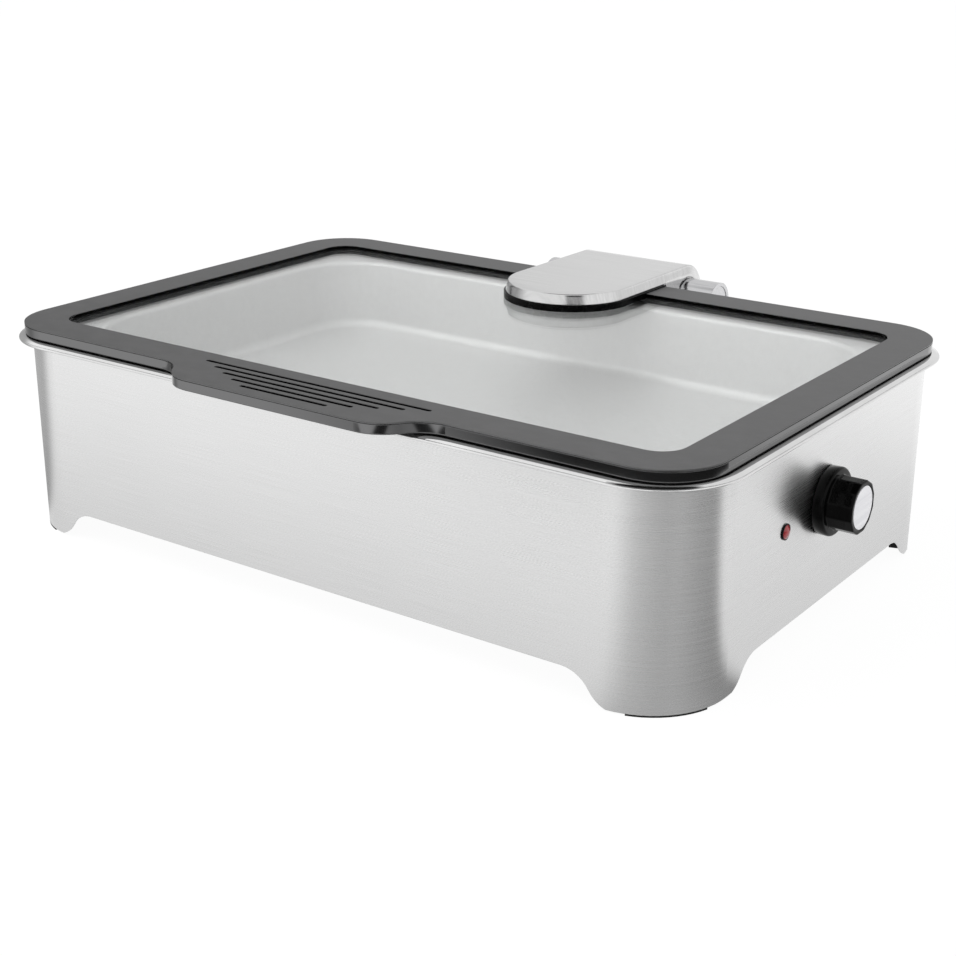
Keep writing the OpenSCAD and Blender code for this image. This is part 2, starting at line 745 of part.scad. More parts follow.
module thermostat_shaft() color("gray") difference() {
    start = wall_in - shaft_in + cut;
    rod_x([start, knob_y, knob_z], shaft_end - start, shaft_r);
    translate([shaft_end - flat_l, knob_y - shaft_r, knob_z + shaft_r / 2])
        cube([flat_l + cut, 2 * shaft_r, shaft_r]);
}

// Planes of the knob along X: its back, the collar's front, the grip's end
knob_back = hx + knob_gap;
collar_front = knob_back + collar_d;
knob_end = collar_front + grip_d;
// End of the thermostat's shaft
shaft_end = knob_end - knob_end_t - fit;
// Sides of the knob's grip
grip_sides = 12;
// Radius of the room in the knob's back for the thermostat's nut
knob_room_r = 3 / 4 * collar_r;

module control_knob() color("#181818") translate([0, knob_y, knob_z]) difference() {
    union() {
        translate([knob_back, 0, 0]) rotate([0, 90, 0]) rotate_extrude() polygon([[0, 0], [collar_r, 0],
            [collar_r, collar_d - knob_bevel], [collar_r - knob_bevel, collar_d], [0, collar_d]]);
        intersection() {
            translate([knob_back, 0, 0]) rotate([0, 90, 0]) rotate(180 / grip_sides)
                cylinder(h = collar_d + grip_d, r = grip_r, $fn = grip_sides);
            translate([knob_back, 0, 0]) rotate([0, 90, 0]) rotate_extrude() polygon([
                [0, 0], [grip_r - fit, 0],
                [grip_r - fit, collar_d + grip_d - knob_bevel / 2],
                [grip_r - fit - knob_bevel / 2, collar_d + grip_d],
                [0, collar_d + grip_d]]);
        }
    }
    rod_x([knob_back - cut, 0, 0], bush_out + cut, knob_room_r);
    rod_x([knob_back, 0, 0], shaft_end - knob_back + fit, shaft_r);
    rod_x([knob_end - face_t, 0, 0], face_t + cut, face_r + fit);
}

module knob_face() color("gainsboro")
    rod_x([knob_end - face_t, knob_y, knob_z], face_t, face_r);

// Wiring and cord entry

// Place of the terminal block and height of the cord gland
block_x = gland_x - 1.5 * block_l;
block_y = hy - 4 * block_w;
gland_z = base_top + gland_up;

module terminal_block() color("ivory") difference() {
    translate([block_x, block_y, base_top]) cube([block_l, block_w, block_h]);
    for (i = [0:block_poles - 1])
        translate([block_x + (i + 1 / 2) * block_l / block_poles, block_y + block_w / 2, base_top + block_h / 2])
            cylinder(h = block_h, r = block_w / 6);
}

module wiring() color("firebrick") for (i = [0, 1]) {
    start_x = block_x + block_l + fit;
    start_y = block_y + block_w / 2 + (i - 0.5) * wire_pitch;
    start_z = base_top + block_h / 3;
    lane_x = wall_in - thermostat_d / 2 + (i - 0.5) * wire_pitch;
    rise = knob_z - i * wire_pitch - start_z - 2 * wire_bend;
    goal_y = knob_y + thermostat_w / 2 + fit;
    translate([start_x, start_y, start_z]) rotate([0, 90, 0])
        bent_rod([[lane_x - start_x - wire_bend], [wire_bend, 90, 180], [rise], [wire_bend, 90, 90],
            [start_y - goal_y - wire_bend]], wire_r);
}

module cord_gland() color("#202020") difference() {
    collar = gland_out / 3;
    union() {
        rod_y([gland_x, hy, gland_z], collar, hex_ratio * gland_r - gland_step);
        translate([gland_x, hy + collar, gland_z]) rotate([-90, 0, 0])
            cylinder(h = gland_out - collar, r1 = gland_r + cut, r2 = gland_r - cut);
        rod_y([gland_x, hy - skirt_t - gland_in, gland_z], gland_in + skirt_t + cut, gland_r);
    }
    rod_y([gland_x, hy - 2 * gland_out, gland_z], 4 * gland_out, gland_r / 2);
}

module gland_nut() color("#303030") {
    nut_t = gland_in - 2 * cut;
    difference() {
        translate([gland_x, hy - skirt_t - nut_t, gland_z]) rotate([-90, 0, 0])
            cylinder(h = nut_t, r = hex_ratio * gland_r, $fn = 6);
        rod_y([gland_x, hy - skirt_t - nut_t - cut, gland_z], nut_t + 2 * cut, gland_r + fit);
    }
}

// Fixed side of the hinge

// Faces of the bracket's plate
bracket_y = hy + bracket_t;
// Start of a barrel and of its arm, from the centre
barrel_in = knuckle_hl + knuckle_gap;
arm_in = cap_w / 2 + arm_room;
barrel_end = barrel_span / 2;

module hinge_bracket() color("silver") {
    arm_r = barrel_r - fit;
    translate([0, hy, bracket_mid]) rotate([-90, 0, 0]) linear_extrude(bracket_t) difference() {
        rounded_rect(barrel_end, bracket_h / 2, 2 * bracket_t);
        for (b = hinge_bolts) translate(b) circle(hinge_screw_r + fit);
    }
    for (s = [0, 1]) mirror([s, 0, 0]) difference() {
        union() {
            slab_x(arm_in, barrel_end - arm_in)
                polygon([[hy + bracket_t / 2, bracket_mid - bracket_h / 4],
                    [hy + bracket_t / 2, axis_z - 2 * bracket_t],
                    [axis_y + arm_r * cos(arm_top_a), axis_z + arm_r * sin(arm_top_a)], [axis_y, axis_z],
                    [axis_y + arm_r * cos(arm_low_a), axis_z + arm_r * sin(arm_low_a)]]);
            rod_x([barrel_in, axis_y, axis_z], barrel_end - barrel_in, barrel_r);
        }
        rod_x([barrel_in - cut, axis_y, axis_z], barrel_end - barrel_in - barrel_cap_t + cut, pin_r);
        rod_x([barrel_end - barrel_cap_t, axis_y, axis_z], barrel_cap_t + cut, barrel_r - barrel_wall);
    }
}

module bracket_screws() color("silver") for (b = hinge_bolts) {
    length = bracket_t + skirt_t + backing_t;
    rod_y([b[0], bracket_y - length, bracket_mid + b[1]], length, hinge_screw_r);
    rod_y([b[0], bracket_y, bracket_mid + b[1]], hinge_head_h, hinge_head_r);
}

module hinge_backing() color("gray") translate([0, hy - skirt_t - backing_t, bracket_mid])
    rotate([-90, 0, 0]) linear_extrude(backing_t) difference() {
        rounded_rect(cap_w / 2, bracket_h / 2 - bracket_t, bracket_t);
        for (b = hinge_bolts) translate(b) circle(hinge_screw_r + fit);
    }

module hinge_pin() color("lightgray")
    rod_x([barrel_cap_t - barrel_end, axis_y, axis_z], 2 * (barrel_end - barrel_cap_t), pin_r);

module barrel_caps() color("whitesmoke") for (s = [0, 1]) mirror([s, 0, 0])
    rod_x([barrel_end - barrel_cap_t, axis_y, axis_z], barrel_cap_t - barrel_sink,
        barrel_r - barrel_wall - fit);

// Lid

// The handle that swells out of the frame's front edge, drawn in by an inset: a bow and a hollow arc
// meet on the line through their centres
module handle_outline(inset) {
    half = handle_l / 2;
    front = -hy - handle_out;
    bow = [half, front + handle_r];
    hollow = [half + handle_run, -hy - handle_r];
    top = max(bow[1], -hy) + cut;
    low = min(front, hollow[1]) - cut;
    translate([-half, front + inset]) square([handle_l, top - front - inset]);
    for (s = [0, 1]) mirror([s, 0]) {
        intersection() {
            translate(bow) circle(handle_r - inset + arc_lap);
            translate([half - handle_r / 2, low]) square([2 * handle_r, bow[1] - low]);
        }
        difference() {
            polygon([bow, hollow, [hollow[0], top], [half, top]]);
            translate(hollow) circle(handle_r + inset + arc_lap);
        }
    }
}

module frame_outline(inset) {
    rounded_rect(hx - inset, hy - inset, lid_r - inset);
    handle_outline(inset);
}

// Places of the screws in the retaining ring
ring_screw_in = ring_inset + (frame_w - ring_inset - pocket_lap) / 2;
ring_screw_at = concat(
    [for (sy = [-1, 1], i = [-2:2]) [i * body_l / 6, sy * (hy - ring_screw_in)]],
    [for (sx = [-1, 1], i = [-1:1]) [sx * (hx - ring_screw_in), i * body_d / 4]]);

module lid_frame() color("#404040") difference() {
    translate([0, 0, lid_z]) linear_extrude(frame_t) frame_outline(0);
    translate([0, 0, lid_top - seam_drop - seam_h]) linear_extrude(seam_h) difference() {
        square([2 * body_l, 2 * body_d], center = true);
        frame_outline(seam_depth);
    }
    translate([0, 0, lid_z - cut]) linear_extrude(frame_t + 2 * cut)
        rounded_rect(window_hx, window_hy, window_r);
    translate([0, 0, lid_z - cut]) linear_extrude(glass_top + gasket_t - lid_z + cut)
        rounded_rect(window_hx + pocket_lap, window_hy + pocket_lap, window_r + pocket_lap);
    for (i = [0:groove_n - 1])
        translate([groove_shift, groove_back - hy - i * groove_pitch, lid_top - groove_depth])
            linear_extrude(groove_depth + cut) slot(groove_l - i * groove_step, groove_w);
    for (p = ring_screw_at) translate([p[0], p[1], lid_z - cut])
        cylinder(h = ring_screw_up + cut, r = ring_screw_r + fit);
}

module glass_gasket() color("#101010") difference() {
    edge = pocket_lap - fit;
    translate([0, 0, lid_z]) linear_extrude(glass_top + gasket_t - lid_z)
        rounded_rect(window_hx + edge, window_hy + edge, window_r + edge);
    translate([0, 0, lid_z - cut]) linear_extrude(frame_t) rounded_rect(window_hx, window_hy, window_r);
    translate([0, 0, lid_z - cut]) linear_extrude(glass_top - lid_z + cut)
        rounded_rect(window_hx + glass_lap + fit, window_hy + glass_lap + fit, window_r + glass_lap + fit);
}

// Places of the screws that clamp the hinge to the glass
clamp_rear = window_hy - clamp_margin;
clamp_at = [for (sx = [-1, 1], y = [cap_nose_y - clamp_fore, clamp_rear - clamp_aft])
    [sx * cap_w / 4, y]];
glass_hole_r = hinge_screw_r + glass_hole_room;

module lid_glass() color("lightcyan", 0.4) translate([0, 0, glass_z]) linear_extrude(glass_t) difference() {
    rounded_rect(window_hx + glass_lap, window_hy + glass_lap, window_r + glass_lap);
    for (p = clamp_at) translate(p) circle(glass_hole_r);
}

module retaining_ring() color("#303030") difference() {
    inner = frame_w - ring_step;
    plate_ring([hx - ring_inset, hy - ring_inset, body_r - ring_inset],
        [hx - inner, hy - inner, window_r + ring_step], ring_z, ring_t);
    for (p = ring_screw_at) translate([p[0], p[1], ring_z - cut]) {
        cylinder(h = ring_t + 2 * cut, r = ring_screw_r + fit);
        cylinder(h = cut + ring_head_t, r = ring_head_r + fit);
    }
}

module ring_screws() color("silver") for (p = ring_screw_at) translate([p[0], p[1], ring_z]) {
    cylinder(h = ring_t + ring_screw_up - fit, r = ring_screw_r);
    cylinder(h = ring_head_t, r = ring_head_r);
}

module lid_seal() color("#181818") {
    height = ring_z - seal_z;
    edge = frame_w - seal_step;
    carry_round(hx - edge, hy - edge, window_r + seal_step) translate([0, seal_z]) {
        translate([0, height / 2]) square([seal_w, height / 2]);
        translate([seal_w / 4, 0]) square([seal_w / 2, height / 2 + fit]);
    }
}

// Moving side of the hinge

// A half-round nose with straight sides, from the nose to a rear line
module nose_outline(inset, rear_y) {
    w = cap_w / 2 - inset;
    intersection() {
        translate([0, cap_nose_y]) circle(w);
        translate([-w, cap_nose_y - w]) square([2 * w, w + cut]);
    }
    translate([-w, cap_nose_y]) square([2 * w, rear_y - cap_nose_y]);
}

// The side of the cap's rear, over the hinge
module cap_rear_outline(inset, low) {
    r = cap_bend_r - inset;
    side_y = hy + cap_side_back;
    translate([side_y, low]) square([axis_y - side_y, axis_z + r - low]);
    intersection() {
        translate([axis_y, axis_z]) circle(r);
        translate([axis_y - cut, axis_z - cut]) square([r + 2 * cut, r + 2 * cut]);
    }
    translate([axis_y - cut, axis_z - cap_rear_drop - inset]) square([r + cut, cap_rear_drop + inset]);
}

module hinge_cap() color("gainsboro") difference() {
    side_low = axis_z + cap_side_up;
    inner_w = cap_w - 2 * cap_t;
    union() {
        translate([0, 0, cap_low]) linear_extrude(cap_side_h) nose_outline(0, axis_y);
        slab_x(-cap_w / 2, cap_w) cap_rear_outline(0, side_low);
    }
    translate([0, 0, cap_low - cut]) linear_extrude(cap_side_h - cap_t + cut) nose_outline(cap_t, axis_y);
    slab_x(-inner_w / 2, inner_w) cap_rear_outline(cap_t, side_low - cut);
    rod_x([-cap_w, axis_y, axis_z], 2 * cap_w, barrel_r + notch_room);
    translate([-cap_w, axis_y - barrel_r - notch_room, axis_z - 2 * cap_rear_drop])
        cube([2 * cap_w, 2 * (barrel_r + notch_room), 2 * cap_rear_drop]);
}

module hinge_pad() color("#101010") difference() {
    translate([0, 0, glass_top]) linear_extrude(cap_low - glass_top) nose_outline(-pad_out, hy);
    translate([-cap_w, window_hy - fit, glass_top - cut])
        cube([2 * cap_w, frame_w + 2 * cut, glass_drop + cut]);
    for (p = clamp_at) translate([p[0], p[1], glass_top - cut])
        cylinder(h = cap_low - glass_top + 2 * cut, r = hinge_screw_r + fit);
}

// The leaf's outline seen from the side, from the plate down to the knuckle
leaf_web_y = hy + leaf_web_back;
knuckle_web = 3 / 4 * knuckle_r;

module hinge_leaf() color("gray") difference() {
    leaf_inset = cap_t + leaf_margin;
    union() {
        translate([0, 0, cap_low]) linear_extrude(leaf_t) nose_outline(leaf_inset, leaf_web_y + cut);
        slab_x(-knuckle_hl, 2 * knuckle_hl) {
            polygon([[leaf_web_y, cap_low], [leaf_web_y, cap_low + leaf_t], [axis_y, cap_low + leaf_t],
                [axis_y + knuckle_web, axis_z + knuckle_r], [axis_y + knuckle_web, axis_z],
                [axis_y - knuckle_web, axis_z], [axis_y - knuckle_web, axis_z + knuckle_web]]);
            translate([axis_y, axis_z]) circle(knuckle_r);
        }
    }
    rod_x([-knuckle_hl - cut, axis_y, axis_z], 2 * (knuckle_hl + cut), pin_r + bush_t);
    for (p = clamp_at) translate([p[0], p[1], cap_low - cut])
        cylinder(h = leaf_t + 2 * cut, r = hinge_screw_r + fit);
}

// Room beside a bush's flange
bush_room = 3 * fit;

module hinge_bushes() color("ivory") for (s = [0, 1]) mirror([s, 0, 0]) difference() {
    flange = knuckle_gap - bush_room;
    union() {
        rod_x([knuckle_hl - bush_l, axis_y, axis_z], bush_l + fit, pin_r + bush_t - fit / 2);
        rod_x([knuckle_hl, axis_y, axis_z], flange, knuckle_r - bush_edge);
    }
    rod_x([knuckle_hl - bush_l - cut, axis_y, axis_z], bush_l + flange + 2 * cut, pin_r + pin_fit);
}

module clamp_outline() difference() {
    nose_outline(clamp_margin, clamp_rear);
    for (p = clamp_at) translate(p) circle(hinge_screw_r + fit);
}

module clamp_pad() color("#101010") translate([0, 0, glass_z - clamp_pad_t])
    linear_extrude(clamp_pad_t) clamp_outline();

module clamp_plate() color("silver") translate([0, 0, glass_z - clamp_pad_t - clamp_t])
    linear_extrude(clamp_t) clamp_outline();

module hinge_screws() color("silver") for (p = clamp_at) {
    low = glass_z - clamp_pad_t - clamp_t;
    translate([p[0], p[1], low]) cylinder(h = cap_low + leaf_t - low - fit, r = hinge_screw_r);
    translate([p[0], p[1], low - hinge_head_h]) cylinder(h = hinge_head_h, r = hinge_head_r);
}

// From the body's middle to the middle of the whole dish: the knob's end to the rim, and the cap to the handle
mid_x = (knob_end - hx - rim_out) / 2;
mid_y = (axis_y + cap_bend_r - hy - handle_out) / 2;

module at_middle() translate([-mid_x, -mid_y, 0]) children();

at_middle() outer_housing();
at_middle() water_basin();
at_middle() food_pan();
at_middle() base_plate();
at_middle() rubber_feet();
at_middle() heat_spreader();
at_middle() heating_element();
at_middle() element_clamps();
at_middle() reflector();
at_middle() tie_studs();
at_middle() stud_spacers();
at_middle() stud_nuts();
at_middle() thermostat();
at_middle() thermostat_nut();
at_middle() thermostat_bulb();
at_middle() thermal_cutout();
at_middle() terminal_block();
at_middle() wiring();
at_middle() cord_gland();
at_middle() gland_nut();
at_middle() lamp_holder();
at_middle() lamp_lens();
at_middle() lamp_clip();
at_middle() hinge_bracket();
at_middle() bracket_screws();
at_middle() hinge_backing();
at_middle() hinge_pin();
at_middle() barrel_caps();
at_middle() thermostat_shaft();
at_middle() control_knob();
at_middle() knob_face();
at_middle() lid_frame();
at_middle() glass_gasket();
at_middle() lid_glass();
at_middle() retaining_ring();
at_middle() ring_screws();
at_middle() lid_seal();
at_middle() hinge_cap();
at_middle() hinge_pad();
at_middle() hinge_leaf();
at_middle() hinge_bushes();
at_middle() clamp_pad();
at_middle() clamp_plate();
at_middle() hinge_screws();
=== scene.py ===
"""An electric chafing dish in a white studio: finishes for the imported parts, and skins over some of them.

Lengths are in metres in the part's frame: +X to the control knob, +Y to the hinge, +Z up from the table.
"""
import json
import math

import bmesh
import bpy
import numpy as np
from mathutils import Matrix, Vector


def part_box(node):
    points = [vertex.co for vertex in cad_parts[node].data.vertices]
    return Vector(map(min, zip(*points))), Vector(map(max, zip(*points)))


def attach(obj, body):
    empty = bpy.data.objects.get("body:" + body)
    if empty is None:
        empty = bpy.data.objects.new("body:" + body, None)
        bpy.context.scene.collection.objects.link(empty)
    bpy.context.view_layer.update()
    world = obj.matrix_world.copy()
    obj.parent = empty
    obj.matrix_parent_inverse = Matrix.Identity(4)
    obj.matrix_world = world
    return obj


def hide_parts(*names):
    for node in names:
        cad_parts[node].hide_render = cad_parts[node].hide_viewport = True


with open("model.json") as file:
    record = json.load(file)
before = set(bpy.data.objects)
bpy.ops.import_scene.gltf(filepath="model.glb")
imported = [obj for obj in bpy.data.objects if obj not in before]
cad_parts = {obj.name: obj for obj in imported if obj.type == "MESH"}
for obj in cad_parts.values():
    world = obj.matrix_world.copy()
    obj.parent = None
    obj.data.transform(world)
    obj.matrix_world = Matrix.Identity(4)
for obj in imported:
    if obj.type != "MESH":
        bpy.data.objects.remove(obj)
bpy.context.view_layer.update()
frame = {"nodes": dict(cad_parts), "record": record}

# Camera, solved from the lid's edges, the feet and the knob. Its place counts from the body's middle
CAM_AZ, CAM_EL, CAM_ROLL = 35.691, 20.116, 0.157
CAM_FROM_BODY = (0.69393, -0.95655, 0.47278)
CAM_LENS = 62.68

# Studio. Azimuths count in degrees from the front towards +X, and a pair is where a shade fades in or out.
# A black panel stands beyond the near corner, up to a height given as the sine of an elevation
PANEL_IN, PANEL_OUT, PANEL_LEVEL, PANEL_TOP = (20.0, 30.0), (50.0, 62.0), 0.01, (0.22, 0.34)
# The ceiling is as dark, above such a sine
CEILING = (0.87, 0.93)
# Painted shade, seen only in reflections: a black strip lies on the floor round the near corner, between two
# distances from it, and runs straight this far left
STRIP_IN, STRIP_OUT = (-56.0, -30.0), (134.0, 152.0)
STRIP_NEAR, STRIP_FAR, STRIP_LEFT = (0.446, 0.458), (0.525, 0.545), -0.203
# Painted shade, seen only in reflections: the floor in front of the corner is grey, and gets darker towards
# the knob's side
GREY_IN, GREY_OUT, GREY_LEVEL = (-20.0, 22.0), (106.0, 126.0), (0.58, 0.31)
# The far left is darker, low down, and the room behind the dish a little
LEFT_IN, LEFT_OUT, LEFT_LEVEL, LEFT_TOP = (-152.0, -122.0), (-78.0, -48.0), 0.42, (0.32, 0.55)
BACK_IN, BACK_LEVEL = (112.0, 132.0), 0.86
# Painted shade of the body, seen only in reflections: the floor gets lighter with its distance from the body
BODY_SHADE_FADE, BODY_SHADE_LEVEL = (-0.05, 0.42), (0.74, 1.06)
# Half the floor's width, and how far it lies below the feet
FLOOR_HALF, FLOOR_DROP = 14.0, 0.0002
# The floor's own light: its strength, its share of the floor, and what the camera and reflections add to that
GLOW, GLOW_SHARE, GLOW_SEEN, GLOW_MIRRORED = 1.02, 0.55, 0.38, 0.41
# Even light from all round, and a soft lamp: its place, aim, side and power
AMBIENT = 0.85
LAMP_PLACE, LAMP_AIM, LAMP_SIDE, LAMP_POWER = (-0.9, -1.1, 1.9), (0.0, 0.0, 0.1), 1.6, 22.0

# Edges of the parts catch the light over this radius
EDGE_R = 0.0005


def even(value):
    """One value for all three axes or colours."""
    return (value,) * 3


def node_box(node):
    """A node's lowest and highest corner as arrays."""
    low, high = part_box(node)
    return np.array(low), np.array(high)


# The body's box and middle, and the radius of its upright corners
BODY_LOW, BODY_HIGH = node_box("outer_housing")
BODY_MIDDLE = (BODY_LOW + BODY_HIGH) / 2
LEFT_X, FRONT_Y = BODY_LOW[:2].tolist()
RIGHT_X, REAR_Y = BODY_HIGH[:2].tolist()
MIDDLE_X, MIDDLE_Y = BODY_MIDDLE[:2].tolist()
CORNER_R = 0.056


class Socket:
    """One output of a shader node. Arithmetic on it adds Math nodes to its tree."""

    def __init__(self, shade, socket):
        self.shade = shade
        self.socket = socket

    def math(self, operation, first, second=0.0):
        return self.shade.add("Math", {"operation": operation}, {0: first, 1: second})

    def __add__(self, other):
        return self.math("ADD", self, other)

    __radd__ = __add__

    def __sub__(self, other):
        return self.math("SUBTRACT", self, other)

    def __rsub__(self, other):
        return self.math("SUBTRACT", other, self)

    def __mul__(self, other):
        return self.math("MULTIPLY", self, other)

    __rmul__ = __mul__

    def __pow__(self, other):
        return self.math("POWER", self, other)

    def larger(self, other):
        return self.math("MAXIMUM", self, other)

    def size(self):
        return self.math("ABSOLUTE", self)


class Shade:
    """A node tree. One method adds any node: its settings first, then the values or links of its sockets."""

    def __init__(self, owner):
        owner.use_nodes = True
        self.tree = owner.node_tree
        self.tree.nodes.clear()

    def add(self, kind, settings=None, sockets=None, out=0):
        node = self.tree.nodes.new("ShaderNode" + kind)
        for name, value in (settings or {}).items():
            setattr(node, name, value)
        for key, value in (sockets or {}).items():
            if isinstance(value, Socket):
                self.tree.links.new(value.socket, node.inputs[key])
            else:
                node.inputs[key].default_value = value
        return Socket(self, node.outputs[out]) if node.outputs else None

    def place(self, kind="Object"):
        """The three coordinates of one kind."""
        place = self.add("TexCoord", out=kind)
        return [self.add("SeparateXYZ", None, {0: place}, axis) for axis in range(3)]

    def ray(self, kind):
        """1 on rays of one kind, else 0."""
        return self.add("LightPath", out=f"Is {kind} Ray")

    def noise(self, stretch, detail=3.0, offset=0.0):
        """Noise on Object coordinates, stretched by one factor along each axis."""
        place = self.add("TexCoord", out="Object")
        place = self.add("Mapping", None, {"Vector": place, "Scale": stretch, "Location": even(offset)})
        return self.add("TexNoise", None, {"Vector": place, "Scale": 1.0, "Detail": detail, "Roughness": 0.6})

    def smooth(self, value, low, high, to_low=0.0, to_high=1.0):
        """A smooth step from to_low at low to to_high at high."""
        ends = {"Value": value, "From Min": low, "From Max": high, "To Min": to_low, "To Max": to_high}
        return self.add("MapRange", {"interpolation_type": "SMOOTHSTEP"}, ends)

    def band(self, value, rise, fall):
        """1 between two pairs of values, over which it rises from 0 and falls back to it."""
        return self.smooth(value, *rise) * (1.0 - self.smooth(value, *fall))

    def mix(self, factor, first, second):
        """Two colours mixed by a factor; each is three numbers or another colour's socket."""
        ends = [end if isinstance(end, Socket) else (*end, 1.0) for end in (first, second)]
        return self.add("Mix", {"data_type": "RGBA"}, {0: factor, 6: ends[0], 7: ends[1]}, out=2)

    def normal(self, relief, height):
        """Rounded edges, with a relief given by a height from 0 to 1 over the distance relief."""
        rounded = self.add("Bevel", {"samples": 4}, {"Radius": EDGE_R})
        sockets = {"Height": height, "Distance": relief, "Strength": 1.0, "Normal": rounded}
        return self.add("Bump", None, sockets)


# Between these levels of its noise a finish goes from one end to the other, in colour and in roughness
COLOR_SPREAD, ROUGH_SPREAD = (0.3, 0.7), (0.25, 0.75)
# Stretch, detail and offset of the slow patches in a finish's roughness
PATCHES = (even(9.0), 2.0, 3.7)


def finish(name, colors, rough, stretch, metallic=0.0, relief=0.00001, detail=3.0, blotch=0.0, **constants):
    """A material: stretched noise moves its colour, roughness and relief between two ends.

    blotch adds slow, large patches to the roughness. Constants are named with _ for a space.
    """
    material = bpy.data.materials.new(name)
    shade = Shade(material)
    grain = shade.noise(stretch, detail)
    spread = shade.smooth(grain, *COLOR_SPREAD)
    roughness = shade.smooth(grain, *ROUGH_SPREAD, *rough)
    if blotch:
        roughness = roughness + blotch * (shade.noise(*PATCHES) - 0.5)
    sockets = {"Base Color": shade.mix(spread, *colors), "Roughness": roughness, "Metallic": metallic}
    sockets["Normal"] = shade.normal(relief, grain)
    sockets.update({key.replace("_", " "): value for key, value in constants.items()})
    surface = shade.add("BsdfPrincipled", None, sockets)
    shade.add("OutputMaterial", None, {"Surface": surface})
    return material


# Stretch and detail of the smears on the glass, the levels where they start and end, and their roughness
SMEARS, SMEAR_SPREAD, SMEAR_ROUGH = ((14.0, 9.0, 14.0), 4.0), (0.35, 0.8), (0.0, 0.008)


def glass_finish():
    """Clear glass with faint smears. Shadow and diffuse rays pass it, so that light reaches the pan."""
    material = bpy.data.materials.new("clear_glass")
    shade = Shade(material)
    smear = shade.smooth(shade.noise(*SMEARS), *SMEAR_SPREAD, *SMEAR_ROUGH)
    sockets = {"Base Color": (0.975, 0.985, 0.98, 1.0), "Transmission Weight": 1.0, "IOR": 1.46}
    clear = shade.add("BsdfPrincipled", None, {**sockets, "Roughness": smear})
    passing = shade.add("BsdfTransparent", None, {"Color": (0.95, 0.96, 0.955, 1.0)})
    shadow = shade.ray("Shadow").larger(shade.ray("Diffuse"))
    surface = shade.add("MixShader", None, {0: shadow, 1: clear, 2: passing})
    shade.add("OutputMaterial", None, {"Surface": surface})
    return material


# Lid frame: its sides begin this far from its bottom and top. Half of its window, and where outside it the
# black painted shade on the window's wall starts and ends
SIDE_EDGE, WINDOW_HALF, WINDOW_WALL = (0.0003, 0.0007), (0.260, 0.163), (0.002, 0.001)
# Front edge of the finger grooves, which slants back beyond the shortest groove. How far their black painted
# shade fades, where it ends behind, and where it ends above the frame's bottom
GROOVE_FRONT, GROOVE_SHORT, GROOVE_SLANT = -0.2135, 0.040, 0.35
GROOVE_FADE, GROOVE_REAR, GROOVE_END = 0.0005, (-0.17, -0.169), (0.001, 0.002)
# Colours of its top, of its side, and the black painted shade of its window wall and grooves
FRAME_TOP = ((0.106, 0.106, 0.107), (0.182, 0.182, 0.184))
FRAME_SIDE, FRAME_SHADE = (0.175, 0.175, 0.177), even(0.003)
# Roughness of its side, and what the top adds to that: evenly, by its grain and by its mottle
SIDE_ROUGH, TOP_ROUGH, TOP_GRAIN, TOP_MOTTLE = 0.06, 0.34, 0.12, 0.06


def frame_finish():
    """The lid's frame: a mottled matte top, glossier outer sides, and painted shade: a black window wall and
    grooves.
    """
    low, high = node_box("lid_frame")
    material = bpy.data.materials.new("grey_plastic")
    shade = Shade(material)
    x, y, z = shade.place()
    x, y = (x - MIDDLE_X).size(), y - MIDDLE_Y
    bottom, top = float(low[2]), float(high[2])
    near, far = SIDE_EDGE
    side = shade.band(z, (bottom + near, bottom + far), (top - far, top - near))
    walls = [shade.smooth(across, half + WINDOW_WALL[0], half + WINDOW_WALL[1])
             for across, half in zip((x, y.size()), WINDOW_HALF)]
    grooves = y - GROOVE_SLANT * (x - GROOVE_SHORT).larger(0.0)
    grooves = shade.smooth(grooves, GROOVE_FRONT - GROOVE_FADE, GROOVE_FRONT)
    grooves = grooves * (1.0 - shade.smooth(y, *GROOVE_REAR))
    grooves = grooves * shade.smooth(z, bottom + GROOVE_END[0], bottom + GROOVE_END[1])
    # Painted shade: the window wall and the grooves get the black colour
    black = side * (walls[0] * walls[1]).larger(grooves)
    grain = shade.noise(even(900.0))
    mottle = shade.smooth(shade.noise((70.0, 90.0, 70.0), 5.0, 1.3), *COLOR_SPREAD)
    matte = shade.mix(0.55 * grain + 0.45 * mottle, *FRAME_TOP)
    color = shade.mix(black, shade.mix(side, matte, FRAME_SIDE), FRAME_SHADE)
    roughness = SIDE_ROUGH + (1.0 - side) * (TOP_ROUGH + TOP_GRAIN * grain + TOP_MOTTLE * mottle)
    sockets = {"Base Color": color, "Roughness": roughness, "Metallic": 0.9 + 0.1 * side}
    sockets["Normal"] = shade.normal(0.00002, grain * (1.0 - side))
    shade.add("OutputMaterial", None, {"Surface": shade.add("BsdfPrincipled", None, sockets)})
    return material


